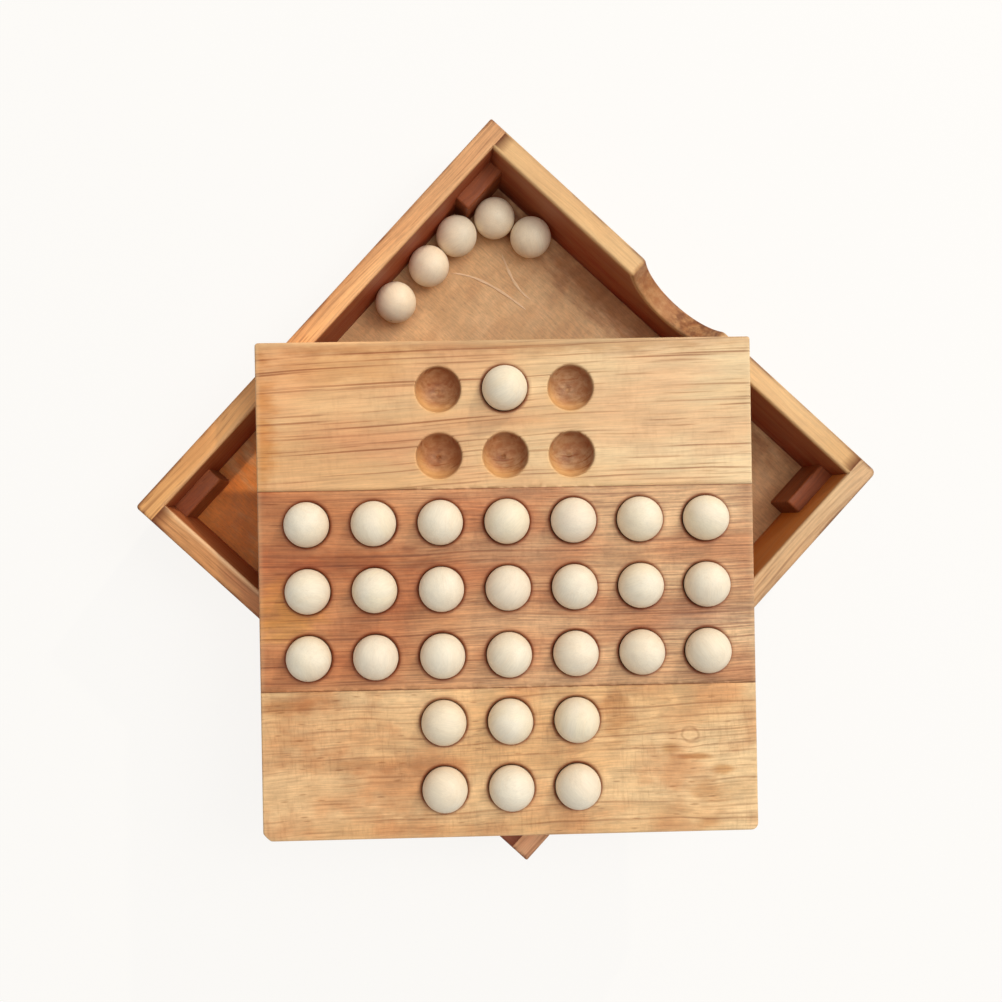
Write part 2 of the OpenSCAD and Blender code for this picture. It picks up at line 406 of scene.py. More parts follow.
def build_plank_grain():
    """Colour = tone, flushed, lined and dashed, times a shade of fine lines, cross marks and end grain."""
    tree, given, out = new_group(
        "plank grain", GRAIN_SOCKETS, {"Color": "Color", "Roughness": "Float", "Height": "Float"})
    straight = given["Place"]
    sway = noise(tree, straight, (0.012, 0.035, 0.035), output="Color")
    sway = vector_maths(tree, "SUBTRACT", sway, MIDDLE_GREY)
    place = vector_maths(tree, "MULTIPLY_ADD", scaled(tree, sway, given["Sway"]), (0.0, 8.0, 8.0), straight)

    broad = fade(tree, noise(tree, place, (0.012, 0.09, 0.09)), 0.32, 0.68)
    flush = fade(tree, noise(tree, place, (0.035, 0.09, 0.09), 3.0), 0.42, 0.68)
    cloud = fade(tree, noise(tree, place, (0.09, 0.3, 0.3), 3.0), 0.3, 0.7, -0.5, 0.5)
    band = fade(tree, noise(tree, place, (0.01, 0.2, 0.2), 1.0), 0.44, 0.58, 0.08, 1.0)
    layer = along(tree, place, SHEET_SLANT)
    broken = fade(tree, noise(tree, place, (0.014, 0.7, 0.7), 2.0), 0.36, 0.54)
    line = times(tree, times(tree, band, sheets(tree, layer, 0.42, 0.22)), broken)
    broken = fade(tree, noise(tree, place, (0.035, 1.1, 1.1), 2.0), 0.48, 0.64, 0.0, 0.7)
    short = times(tree, sheets(tree, maths(tree, "ADD", layer, 57.0), 0.6, 0.2), broken)
    hair = fade(tree, noise(tree, place, (0.05, 1.9, 1.9), 2.0), 0.54, 0.68, 0.0, 1.4)
    hair = times(tree, hair, given["Fine"])
    line = maths(tree, "MAXIMUM", maths(tree, "MAXIMUM", line, short), hair)
    fine = fade(tree, noise(tree, place, (0.06, 2.2, 2.2), 2.0, 0.6), 0.32, 0.68)
    grit = fade(tree, noise(tree, straight, (0.7, 1.3, 1.3), 3.0, 0.7), 0.28, 0.72)
    across = fade(tree, noise(tree, straight, (0.75, 0.24, 0.24), 2.0), 0.48, 0.68)
    sawn = fade(tree, noise(tree, straight, (0.035, 0.05, 0.05), 1.0), 0.4, 0.6)

    away, spot = cells(tree, place, (0.1, 1.1, 1.1))
    picked = fade(tree, along(tree, spot, (1.0, 0.0, 0.0)), 0.4, 0.85)
    dash = times(tree, fade(tree, away, 0.08, 0.3, 1.0, 0.0), picked)

    line = times(tree, line, given["Lines"])
    dash = times(tree, times(tree, dash, given["Pores"]), fade(tree, given["End"], 0.5, 0.95, 1.0, 0.45))
    hatch = times(tree, times(tree, across, sawn), given["Hatch"])
    color = mix(tree, broad, given["Pale"], given["Deep"])
    color = mix(tree, times(tree, flush, given["Blotch"]), color, given["Flush"])
    color = mix(tree, line, color, given["Streak"])
    color = mix(tree, maths(tree, "MAXIMUM", dash, times(tree, hatch, 0.2)), color, given["Streak"])
    uneven = maths(tree, "SUBTRACT", maths(tree, "MULTIPLY_ADD", grit, 0.4, fine), 0.7)
    shade = maths(tree, "MULTIPLY_ADD", uneven, given["Fine"], 1.0)
    shade = times(tree, shade, maths(tree, "MULTIPLY_ADD", times(tree, cloud, given["Blotch"]), 0.24, 1.0))
    shade = times(tree, shade, fade(tree, given["End"], 0.5, 0.95, 1.0, 0.74))
    feed(tree, out["Color"], scaled(tree, color, shade))
    rough = maths(tree, "MULTIPLY_ADD", fine, 0.16, 0.46)
    feed(tree, out["Roughness"], maths(tree, "MULTIPLY_ADD", dash, 0.2, rough))
    height = maths(tree, "MULTIPLY_ADD", fine, given["Fine"], maths(tree, "MULTIPLY", dash, -1.0))
    height = maths(tree, "MULTIPLY_ADD", hatch, -0.5, height)
    feed(tree, out["Height"], maths(tree, "MULTIPLY_ADD", line, -0.6, height))
    return tree


plank_grain = build_plank_grain()
print("plank grain has", len(plank_grain.nodes), "nodes")

# %% [markdown]
# ## Wear, cuts and painted light over the grain
# Grain alone looks like new veneer. On the real set the inner edges are rubbed pale, the outer edges are
# bruised dark in places, the inside faces took more stain, glue darkened the joints, and the cutter left
# mottled, torn wood in the hollows and the notch. Light and shade are painted in with them: the inner stain
# deepens towards the floor, a dark line runs along the outer rims, the back wall's inner edge and the
# board's edges are brightened, the cut wood of the hollows is kept dark, a dark ring lies round each ball,
# and each empty hollow is dark on one side and pale on the lip of the other. The meshes carry one number per
# point for each of these, and this group lays them over the grain, each broken up by its own noise.

# %% Build the group that lays wear, cuts and painted light and shade over the grain
MARKS = ("inside", "cut", "scar", "sanded", "worn", "bruised", "seam")
STAIN = (148, 52, 16)  # inside faces of the walls: a stain that deepens towards the floor, partly painted shade
SANDED = (236, 184, 118)  # painted highlight: the pale lip on the lit side of an empty hollow
GLUE = (112, 46, 18)  # joints, and painted shade: the dark ring round each ball and the dark side of an empty hollow
CUT_WOOD = (157, 88, 42)  # fresh walls of the hollows and the notch; kept dark partly as painted shade in the hollows
BURNT = (94, 36, 14)  # torn wood, and the dark line along the outer rims, which is bruising and partly painted shade


def build_wear():
    """Colour mixed to each mark's own colour by mark * share * its noise."""
    sockets = {"Color": "Color", "Place": "Vector", "Rubbed": "Color", "Sawn": "Color", "Stain": "Color"}
    sockets |= dict.fromkeys(MARKS, "Float")
    tree, given, out = new_group("wear and cuts", sockets, {"Color": "Color"})
    place = given["Place"]
    mottle = fade(tree, noise(tree, place, (0.4, 0.55, 0.55), 3.0, 0.6), 0.3, 0.7, 0.6, 1.0)
    torn = fade(tree, noise(tree, place, (0.5, 0.8, 0.8), 2.0, 0.5), 0.32, 0.68)
    dent = fade(tree, noise(tree, place, (0.09, 0.5, 0.5), 3.0), 0.42, 0.62, 0.3, 1.0)
    uneven = fade(tree, noise(tree, place, (0.06, 0.3, 0.3), 2.0), 0.3, 0.7, 0.75, 1.0)
    soaked = fade(tree, noise(tree, place, (0.05, 0.4, 0.4), 2.0), 0.3, 0.7, 0.86, 1.0)
    layers = {
        "inside": (1.0, soaked, given["Stain"]), "cut": (0.8, mottle, given["Sawn"]),
        "scar": (0.75, torn, linear(*BURNT)), "sanded": (0.8, uneven, linear(*SANDED)),
        "worn": (0.75, uneven, given["Rubbed"]),
        "bruised": (0.75, dent, linear(*BURNT)), "seam": (0.92, uneven, linear(*GLUE)),
    }
    color = given["Color"]
    for name, (share, pattern, layer) in layers.items():
        amount = times(tree, times(tree, given[name], pattern), share)
        color = mix(tree, amount, color, layer)
    feed(tree, out["Color"], color)
    return tree


wear_and_cuts = build_wear()
print("wear and cuts has", len(wear_and_cuts.nodes), "nodes")

# %% [markdown]
# ## One finish per plank
# Planks of one set never match: the maker glued a redder strip between two tan ones, and the four walls
# come from different boards. One function builds a plank's finish from its colours and from the way it was
# cut. The Mapping node turns the object's place into plank millimetres. The grain rises a little across a
# plank, the colour drifts from one end to the other, and round a knot the lines part and close again.

# %% Build a finish for one plank
GLUE_WIDTH = 0.22  # mm that a glue line's stain reaches to each side
SEED_STEP = np.array([310.0, 47.0, 23.0])  # mm between the wood of two planks


def new_material(label):
    """A material with nodes: returns it, its tree and its Principled shader."""
    material = bpy.data.materials.new(label)
    material.use_nodes = True
    return material, material.node_tree, material.node_tree.nodes["Principled BSDF"]


def use_group(tree, group, values):
    """Place a group in a tree, feed its inputs by name and return its outputs."""
    made = tree.nodes.new("ShaderNodeGroup")
    made.node_tree = group
    for socket, value in values.items():
        feed(tree, made.inputs[socket], value)
    return made.outputs


def raise_grain(tree, shader, height, strength, distance):
    """Feed a height in mm through a Bump node to the shader's normal."""
    bump = tree.nodes.new("ShaderNodeBump")
    bump.inputs["Strength"].default_value = strength
    bump.inputs["Distance"].default_value = distance * MM
    feed(tree, bump.inputs["Height"], height)
    feed(tree, shader.inputs["Normal"], bump.outputs["Normal"])


def from_spot(tree, local, x, y, reach_x, reach_y):
    """Distance from a spot on the plank's top, counted in reaches along x and y."""
    scale, start = (1 / reach_x, 1 / reach_y, 0.0), (-x / reach_x, -y / reach_y, 0.0)
    offset = vector_maths(tree, "MULTIPLY_ADD", local, scale, start)
    return offset, vector_maths(tree, "LENGTH", offset, output="Value")


def part_grain(tree, local, place, knots):
    """Draw the grain to each knot's own line: y shrinks by a share that fades with distance."""
    for x, y, radius in knots:
        offset, away = from_spot(tree, local, x, y, radius, radius)
        pull = fade(tree, away, 0.0, 2.6, 0.45 * radius, 0.0)
        moved = vector_maths(tree, "MULTIPLY", offset, (0.0, -1.0, 0.0))
        place = vector_maths(tree, "ADD", place, scaled(tree, moved, pull))
    return place


def stain_spots(tree, local, color, stains, knots, streak):
    """Each oval multiplies the colour by its tint inside a ragged rim; on the strips these are stains, in
    the tray they also paint shade and light. Each knot adds a thin ring.
    """
    ragged = maths(tree, "SUBTRACT", noise(tree, local, (0.15, 0.35, 0.35), 3.0), 0.5)
    for x, y, reach_x, reach_y, tint in stains:
        away = from_spot(tree, local, x, y, reach_x, reach_y)[1]
        away = maths(tree, "MULTIPLY_ADD", ragged, 1.6, away)
        color = mix(tree, fade(tree, away, 0.2, 1.2, 1.0, 0.0), color, (*tint, 1.0), "MULTIPLY")
    for x, y, radius in knots:
        away = maths(tree, "MULTIPLY_ADD", ragged, 1.2, from_spot(tree, local, x, y, radius, radius)[1])
        ring = maths(tree, "ABSOLUTE", maths(tree, "SUBTRACT", away, 1.0))
        color = mix(tree, fade(tree, ring, 0.0, 0.34, 0.42, 0.0), color, streak)
    return color


def plank_finish(label, pale, deep, flush, streak, lines=0.6, fine=0.25, pores=0.35, hatch=0.0, blotch=0.3,
                 sway=1.0, centre=(0, 0), turn=0.0, rise=0.0, shorten=1.0, far_tint=None,
                 far_way=(1, 0, 0), glued=False, knots=(), stains=(), inside=STAIN,
                 rubbed=None, fine_far=None, seed=0):
    """Principled wood: plank grain on turned Object coordinates, then drift, knots, stains, wear and cuts
    with painted light and shade, and glue lines.
    """
    material, tree, shader = new_material(label)
    pale, deep, flush, streak = (linear(*color) for color in (pale, deep, flush, streak))
    here = tree.nodes.new("ShaderNodeTexCoord")
    mapping = tree.nodes.new("ShaderNodeMapping")
    mapping.vector_type = "TEXTURE"
    mapping.inputs["Location"].default_value = (centre[0] * MM, centre[1] * MM, 0)
    mapping.inputs["Rotation"].default_value = (0, 0, turn)
    mapping.inputs["Scale"].default_value = (MM, MM, MM)
    feed(tree, mapping.inputs["Vector"], here.outputs["Object"])
    local = mapping.outputs["Vector"]
    risen = tree.nodes.new("ShaderNodeVectorRotate")
    risen.rotation_type = "Z_AXIS"
    risen.inputs["Angle"].default_value = -math.radians(rise)
    feed(tree, risen.inputs["Vector"], local)
    place = part_grain(tree, local, risen.outputs["Vector"], knots)
    place = vector_maths(tree, "MULTIPLY_ADD", place, (shorten, 1.0, 1.0), (seed * SEED_STEP).tolist())
    grain_way = turn + math.radians(rise)
    end = along(tree, here.outputs["Normal"], (math.cos(grain_way), math.sin(grain_way), 0.0))

    if fine_far is not None:
        fine = fade(tree, along(tree, local, (1.0, 0.0, 0.0)), -tray_half, tray_half, fine, fine_far)
    grain = use_group(tree, plank_grain, {
        "Place": place, "Pale": pale, "Deep": deep, "Flush": flush, "Streak": streak, "Lines": lines,
        "Fine": fine, "Pores": pores, "Hatch": hatch, "Blotch": blotch, "Sway": sway,
        "End": maths(tree, "ABSOLUTE", end)})
    color = grain["Color"]
    if far_tint:
        drift = fade(tree, along(tree, local, far_way), -tray_half, tray_half)
        color = mix(tree, drift, color, (*far_tint, 1.0), "MULTIPLY")
    color = stain_spots(tree, local, color, stains, knots, streak)
    rubbed = linear(*rubbed) if rubbed else pale
    tones = {"Rubbed": rubbed, "Sawn": linear(*CUT_WOOD), "Stain": linear(*inside)}
    marks = {name: mark(tree, name) for name in MARKS}
    worn = use_group(tree, wear_and_cuts, {"Color": color, "Place": place} | tones | marks)
    color = worn["Color"]
    if glued:
        across = maths(tree, "ABSOLUTE", along(tree, local, (0.0, 1.0, 0.0)))
        away = maths(tree, "ABSOLUTE", maths(tree, "SUBTRACT", across, 1.5 * pitch))
        color = mix(tree, fade(tree, away, 0.0, GLUE_WIDTH, 0.7, 0.0), color, linear(*GLUE))
    feed(tree, shader.inputs["Base Color"], color)
    feed(tree, shader.inputs["Roughness"], grain["Roughness"])
    raise_grain(tree, shader, grain["Height"], 0.6, 0.12)
    shader.inputs["Specular IOR Level"].default_value = 0.3
    return material


print("a plank's finish lays", len(MARKS), "marks over its grain")

# %% [markdown]
# ## The wood of each plank
# The colours are the ones that the eye reads off the wood. Each plank gets a pale and a deep tone, a flush
# for its redder parts and a streak for its lines. The strips of the board are redder towards one end, and
# all carry stains, which are ovals with ragged rims. The last strip has a small ring knot near its corner.
# The floor is a thin ply with short flecks, so its grain is shortened.

# %% Mix the finishes
QUARTER = math.pi / 2
ON_BOARD = dict(centre=board_middle, turn=board_turn, glued=True)
KNOTS = [(-46.0, 38.6, 1.9)]
# broad stains in the strips: x and y on the board, reach along both, tint
FIRST_STAINS = [
    (0, -62.5, 90, 3.4, (0.74, 0.64, 0.56)), (44, -57, 26, 4.5, (0.86, 0.78, 0.70)),
    (62.5, -38, 5, 24, (0.86, 0.68, 0.46)), (38, -38, 18, 6, (0.93, 0.84, 0.82)),
    (0, -42.5, 24, 1.6, (0.92, 0.86, 0.82)),
]
MIDDLE_STAINS = [
    (36, -7.5, 26, 5, (0.72, 0.55, 0.46)), (56, 5, 10, 9, (1.24, 1.30, 0.85)),
    (24, 8, 18, 6, (0.90, 0.82, 0.76)),
    (2, -8, 26, 7, (0.90, 0.86, 0.86)), (-50, 8, 16, 5, (0.86, 0.83, 0.88)),
]
LAST_STAINS = [
    (58, 29, 16, 2.6, (0.72, 0.58, 0.48)), (34, 44.5, 26, 2.6, (0.80, 0.68, 0.60)),
    (-27, 33, 5, 8, (0.80, 0.66, 0.55)), (-54.7, 47.3, 3.4, 1.8, (0.76, 0.60, 0.46)),
    (-50.5, 52.7, 6, 3.6, (0.82, 0.68, 0.58)), (-50.5, 61, 4.5, 2.6, (0.82, 0.70, 0.60)),
    (-41, 41.7, 3.0, 1.8, (0.80, 0.68, 0.55)), (-46.5, 44.1, 6, 0.9, (0.68, 0.50, 0.36)),
]
# ovals in the tray: on the left and back walls where they meet, painted shadow of the board; one more oval
# further along the back wall
LEFT_STAINS = [(66, 67, 10, 7, (1.0, 0.80, 0.80))]
BACK_STAINS = [(30, 67, 12, 6, (0.86, 0.76, 0.78)), (-64, 67, 9, 7, (0.62, 0.42, 0.50))]
# on the floor: painted shade in the two front corners and along the front wall, and a warm orange painted
# tint of bounced light in the corner of the right and back walls
FLOOR_STAINS = [
    (57, -60, 16, 8, (0.52, 0.33, 0.25)), (8, -63, 60, 10, (0.60, 0.43, 0.33)),
    (-55, -52, 26, 24, (0.84, 0.74, 0.68)), (55, 58, 36, 30, (1.02, 0.61, 0.27)),
]
FINISHES = {
    "first_strip": plank_finish(
        "tan strip wood, first", (235, 208, 164), (225, 190, 143), (226, 180, 136), (150, 94, 54),
        lines=0.75, fine=0.13, pores=0.2, hatch=0.4, blotch=0.6, sway=0.55, rise=2.4,
        far_tint=(0.94, 0.79, 0.68), stains=FIRST_STAINS, seed=0, **ON_BOARD),
    "middle_strip": plank_finish(
        "russet strip wood", (220, 185, 144), (198, 155, 114), (190, 134, 94), (124, 72, 46),
        lines=0.55, fine=0.44, fine_far=0.28, pores=0.4, hatch=0.6, blotch=0.9, sway=0.7, rise=0.6,
        far_tint=(0.87, 0.58, 0.43), stains=MIDDLE_STAINS, seed=1, **ON_BOARD),
    "last_strip": plank_finish(
        "tan strip wood, last", (239, 205, 156), (224, 181, 129), (210, 152, 102), (146, 92, 52),
        lines=0.5, fine=0.2, pores=0.5, hatch=0.75, blotch=0.8, sway=0.5, rise=1.2, shorten=2.0,
        far_tint=(0.95, 0.87, 0.82), knots=KNOTS, stains=LAST_STAINS, seed=2, **ON_BOARD),
    "right_wall": plank_finish(
        "streaked wall wood", (226, 176, 126), (208, 152, 104), (204, 144, 98), (128, 72, 38),
        lines=0.55, fine=0.3, fine_far=0.12, pores=0.4, turn=QUARTER, rise=-1.5,
        far_tint=(1.06, 0.98, 0.76), seed=3),
    "front_wall": plank_finish(
        "pale wall wood", (228, 187, 134), (216, 170, 115), (216, 164, 112), (180, 126, 78),
        lines=0.15, fine=0.14, pores=0.1, seed=4),
    # the left wall's inside colour is a bright orange: painted warm light on that inner face
    "left_wall": plank_finish(
        "light tan wall wood", (220, 186, 143), (206, 164, 119), (202, 152, 108), (140, 92, 56),
        lines=0.5, fine=0.2, pores=0.35, turn=QUARTER, stains=LEFT_STAINS, inside=(222, 132, 44), seed=5),
    # the back wall's inside colour is lighter than the front and right walls' as painted light, and its
    # rubbed inner edge is brighter as a painted highlight
    "back_wall": plank_finish(
        "orange wall wood", (222, 172, 122), (204, 148, 98), (190, 126, 86), (134, 82, 50),
        lines=0.6, fine=0.22, pores=0.4, rise=2.0, far_tint=(1.0, 0.92, 0.8), stains=BACK_STAINS,
        rubbed=(240, 202, 158), inside=(164, 80, 38), seed=6),
    "floor": plank_finish(
        "thin ply floor", (226, 184, 136), (212, 168, 120), (200, 150, 104), (140, 92, 56),
        lines=0.1, fine=0.2, pores=0.2, blotch=0.5, sway=0.1, shorten=6.0, far_tint=(1.02, 0.87, 0.72),
        far_way=(0, 1, 0), stains=FLOOR_STAINS, seed=7),
    "block": plank_finish(
        "rough block wood", (168, 94, 50), (142, 72, 36), (128, 58, 26), (88, 38, 18),
        lines=0.5, fine=0.25, pores=0.5, hatch=0.4, turn=QUARTER, shorten=2.0, seed=8),
}
print(len(FINISHES), "plank finishes")

# %% [markdown]
# ## The tray's side walls and back wall
# Each wall is a straight board. The side walls run the full length and show their end grain, and the
# short walls butt between them. All four are eased together after gluing, so the easing is worked out on
# the tray's whole square: points of neighbouring boards that touch before it still touch after it.

# %% Make the straight walls
WALL_EASE = 0.6
INNER_EASE = 0.7
FOOT_EASE = 0.45
TRAY_CORNERS = {(1, -1): 0.5, (-1, -1): 1.6, (1, 1): 1.0, (-1, 1): 0.5}  # radius by the signs of x and y


def ease_tray(points):
    """Ease the tray's outer rim, inner rim, foot and upright corners, in that order."""
    points = ease_rim(points, tray_half, rim, 1, WALL_EASE)
    points = ease_rim(points, inside_half, rim, 1, INNER_EASE, hole=True)
    points = ease_rim(points, tray_half, 0.0, -1, FOOT_EASE)
    for (x, y), radius in TRAY_CORNERS.items():
        points = ease_edge(points, (0, x * tray_half, x), (1, y * tray_half, y), radius)
    return points


def near_edge(across, deep, reach):
    """Mark of an edge: 1 within a third of the reach, fading to 0 at the reach."""
    return np.clip(1.5 - 1.5 * np.hypot(across, deep) / reach, 0, 1)


def tray_marks(far, deep):
    """Marks of a wall's points from their distance to the tray's middle and their depth under the rim."""
    return {
        # inner edges rubbed pale; on the back wall the colour is brighter, a painted highlight
        "worn": near_edge(far - inside_half, deep, 1.2),
        # outer edges: bruises in a dark line along the rim, partly painted shade
        "bruised": near_edge(far - tray_half, deep, 1.1),
        # inside faces: a stain that grows with depth, so they darken towards the floor, partly as painted
        # shade
        "inside": (np.abs(far - inside_half) < SAME) * np.clip(deep / 1.6, 0, 1)
        * np.minimum(0.78 + 0.3 * deep / rim, 1),
    }


thick_lines = cut_lines(inside_half, tray_half, 2.0, [rebate_half])
high_lines = cut_lines(0.0, rim, 3.0, [floor_top])
between_lines = np.linspace(-inside_half, inside_half, 33)


def straight_wall(name, axis, side):
    """Skin of one wall: axis 0 is a side wall along Y, axis 1 a short wall along X, side its sign."""
    across = np.sort(side * thick_lines)
    full_length = np.concatenate([-thick_lines[::-1], between_lines[1:-1], thick_lines])
    lines = [between_lines, across, high_lines] if axis else [across, full_length, high_lines]
    x, y, z = cell_middles(lines)
    air = (np.abs(x) < rebate_half) & (np.abs(y) < rebate_half) & (z < floor_top)
    points, quads = lattice_skin(lines, ~air)
    at_joint = (np.abs(np.abs(points[:, 0]) - inside_half) < SAME) & (np.abs(points[:, 1]) >= inside_half)
    shown = (points[:, 2] > rim - SAME) | (np.abs(points[:, 1]) > tray_half - SAME)
    marks = tray_marks(np.abs(points[:, :2]).max(axis=1), rim - points[:, 2])
    place_piece(
        name + "_board", ease_tray(points), quads, "tray", "tray_wood", FINISHES[name], name,
        seam=at_joint & shown, **marks)


straight_wall("right_wall", 0, 1)
straight_wall("left_wall", 0, -1)
straight_wall("back_wall", 1, 1)

# %% [markdown]
# ## The front wall and its finger notch
# A finger lifts the board out at a round scoop in the front wall. Cutting it out with a boolean would
# leave sharp edges and long triangles. Instead the wall's rim is drawn as a path: straight, a small
# round, the scoop's arc, a small round, straight. The wall is first made straight and eased, and every
# point is then hung on that path by its depth under the rim.

# %% Bend the rim of the front wall into the notch
NOTCH_WIDTH = 28.0
NOTCH_DEPTH = 9.5
NOTCH_LIP = 1.6  # radius of the round between the rim and the scoop
BAND = 0.95  # depth under the rim that follows the path squarely
STILL = 21.0  # depth under the straight rim below which nothing bends


def both_sides(flat, lip, scoop, sign):
    """One number along the whole rim: flat, lip and scoop, then lip and flat backwards, times a sign."""
    return np.concatenate([flat, lip, scoop, sign * lip[::-1], sign * flat[::-1]])


def notch_path():
    """Rim path from left to right as x, z and its upward normal.

    The scoop is a circle through both mouth points and the deepest point. A lip circle lies under the
    rim and touches both the rim line and the scoop, so the three arcs meet smoothly.
    """
    scoop = (NOTCH_WIDTH**2 / 4 + NOTCH_DEPTH**2) / (2 * NOTCH_DEPTH)
    above = scoop - NOTCH_DEPTH  # height of the scoop's centre over the rim
    lip_x = math.sqrt((scoop + NOTCH_LIP) ** 2 - (above + NOTCH_LIP) ** 2)
    open_angle = math.atan2(lip_x, above + NOTCH_LIP)
    swing = np.linspace(-open_angle, open_angle, 45)
    roll = np.linspace(0, open_angle, 9)[:-1]
    flat = np.linspace(-inside_half, -lip_x, 15)[:-1]
    lip_left = -lip_x + NOTCH_LIP * np.sin(roll), rim - NOTCH_LIP + NOTCH_LIP * np.cos(roll)
    arc = scoop * np.sin(swing), rim + above - scoop * np.cos(swing)
    x = both_sides(flat, lip_left[0], arc[0], -1)
    z = both_sides(0 * flat + rim, lip_left[1], arc[1], 1)
    lean = both_sides(0 * flat, roll, -swing, -1)
    in_scoop = both_sides(0 * flat, roll / open_angle, 0 * swing + 1, 1)
    return x, z, np.sin(lean), np.cos(lean), in_scoop


def notched_wall():
    """Skin of the front wall: lattice over path number, thickness and depth, hung on the rim path."""
    path_x, path_z, normal_x, normal_z, in_scoop = notch_path()
    number = np.arange(len(path_x), dtype=float)
    across = np.sort(-thick_lines)
    depth = np.unique(np.concatenate([rim - high_lines, [BAND, STILL]]))
    lines = [number, across, depth[depth >= 0]]
    x, y, d = cell_middles(lines)
    points, quads = lattice_skin(lines, ~((np.abs(y) < rebate_half) & (d > rim - floor_top) & (x > -1)))
    quads = quads[:, ::-1]  # depth runs downwards, so the winding is turned round
    step = points[:, 0].astype(int)
    marks = tray_marks(-points[:, 1], points[:, 2])
    cut = in_scoop[step] * np.clip(1.2 - points[:, 2] / 0.6, 0, 1)
    torn_left, torn_right = np.clip((-path_x - 0.5) / 2, 0, 1), np.clip((path_x - 5) / 4, 0, 1)
    scar = cut * (0.85 * torn_left + 0.3 * torn_right)[step]
    marks["worn"] = marks["worn"] * (1 - 0.7 * in_scoop[step])
    for side, sign, radius in ((-tray_half, -1, WALL_EASE), (-inside_half, 1, INNER_EASE)):
        points = ease_edge(points, (1, side, sign), (2, 0.0, -1), radius)
    points = ease_edge(points, (1, -tray_half, -1), (2, rim, 1), FOOT_EASE)
    deep = points[:, 2]
    hung = np.minimum(deep, BAND)
    out = np.stack([
        path_x[step] - hung * normal_x[step], points[:, 1], path_z[step] - hung * normal_z[step]], axis=1)
    share = np.clip((deep - BAND) / (STILL - BAND), 0, 1)
    out[:, 2] = np.where(deep > STILL, rim - deep, out[:, 2] + share * (rim - STILL - out[:, 2]))
    at_joint = (step == 0) | (step == len(path_x) - 1)
    shown = (deep < SAME) | (points[:, 1] < -tray_half + SAME)
    place_piece(
        "front_wall_board", out, quads, "tray", "tray_wood", FINISHES["front_wall"], "front_wall",
        seam=at_joint & shown, cut=cut, scar=scar, **marks)


notched_wall()

# %% [markdown]
# ## Floor and rest blocks
# The floor is a thin panel let into a rebate under the walls. The four rest blocks are offcuts glued
# into the corners, sawn and left rough, with their corners broken by hand.

# %% Make the floor panel and the four rest blocks
BLOCK_EASE = 0.6


def boxed(node, step):
    """Lattice skin of a CAD piece that is a plain box."""
    low, high = span(node)
    lines = [cut_lines(a, b, step) for a, b in zip(low, high)]
    return lattice_skin(lines, np.ones([len(line) - 1 for line in lines], bool))


points, quads = boxed("floor_panel", 6.0)
place_piece("ply_floor", points, quads, "tray", "floor_ply", FINISHES["floor"], "floor_panel")

for node in sorted(n for n in frame["nodes"] if n.startswith("rest_block")):
    low, high = span(node)
    points, quads = boxed(node, 2.0)
    inner_x = (0, high[0], 1) if low[0] < 0 else (0, low[0], -1)
    inner_y = (1, high[1], 1) if low[1] < 0 else (1, low[1], -1)
    top = (2, high[2], 1)
    for first, second in ((inner_x, top), (inner_y, top), (inner_x, inner_y)):
        points = ease_edge(points, first, second, BLOCK_EASE, 1.7)
    name = node.replace("rest_", "sawn_")
    place_piece(name, points, quads, "tray", "block_wood", FINISHES["block"], node)

# %% [markdown]
# ## Dried glue on the floor
# Two thin threads of glue ran out of the corner when the tray was put together, and dried on the floor.
# Each is a low half-round carried along a smooth curve through a few places, and it thins out at both ends.

# %% Lay two threads of dried glue
GLUE_THREADS = {
    "dried_glue_long": [(53.2, -37.4), (50.2, -39.2), (45.3, -41.4), (41.8, -42.7), (37.5, -43.2),
                        (33.8, -43.2), (30.3, -44.1)],
    "dried_glue_short": [(46.4, -51.1), (42.5, -49.3), (39.2, -47.7), (35.3, -47), (31.4, -47)],
}
GLUE_HALF_WIDTH, GLUE_HEIGHT = 0.42, 0.24


def glue_thread(through):
    """Points and faces of one thread: profile (w cos a, h max(sin a, 0)), tapered, along a cubic curve."""
    through = np.array(through)
    fit = np.polyfit(np.linspace(0, 1, len(through)), through, 3)
    t = np.linspace(0, 1, 49)
    path = np.stack([np.polyval(fit[:, 0], t), np.polyval(fit[:, 1], t)], axis=1)
    way = np.gradient(path, axis=0)
    side = np.stack([-way[:, 1], way[:, 0]], axis=1) / np.hypot(way[:, 0], way[:, 1])[:, None]
    swell = (0.15 + 0.85 * np.sin(math.pi * t) ** 0.5) * (1 + 0.2 * np.sin(23 * t))
    a = np.linspace(0, 2 * math.pi, 12, endpoint=False)
    wide = (GLUE_HALF_WIDTH * swell)[:, None, None] * np.cos(a)[None, :, None]
    flat = path[:, None] + wide * side[:, None]
    high = floor_top + (GLUE_HEIGHT * swell)[:, None] * np.maximum(np.sin(a), 0)[None, :]
    points = np.concatenate([flat, high[:, :, None]], axis=2).reshape(-1, 3)
    quads = ring_quads(len(t), len(a))[:, [0, 3, 2, 1]].tolist()
    ends = [np.arange(len(a))[::-1].tolist(), (np.arange(len(a)) + (len(t) - 1) * len(a)).tolist()]
    return points, quads + ends


def glue_finish():
    """Milky dried glue: two pale tones mixed by noise, smoother than the wood."""
    material, tree, shader = new_material("dried glue")
    place = scaled(tree, tree.nodes.new("ShaderNodeTexCoord").outputs["Object"], 1 / MM)
    tone = noise(tree, place, (0.5, 0.5, 0.5), 3.0)
    feed(tree, shader.inputs["Base Color"], mix(tree, tone, linear(226, 184, 140), linear(238, 204, 164)))
    feed(tree, shader.inputs["Roughness"], maths(tree, "MULTIPLY_ADD", tone, 0.2, 0.3))
    return material


dried_glue = glue_finish()
for name, through in GLUE_THREADS.items():
    place_piece(name, *glue_thread(through), "tray", "floor_ply", dried_glue)

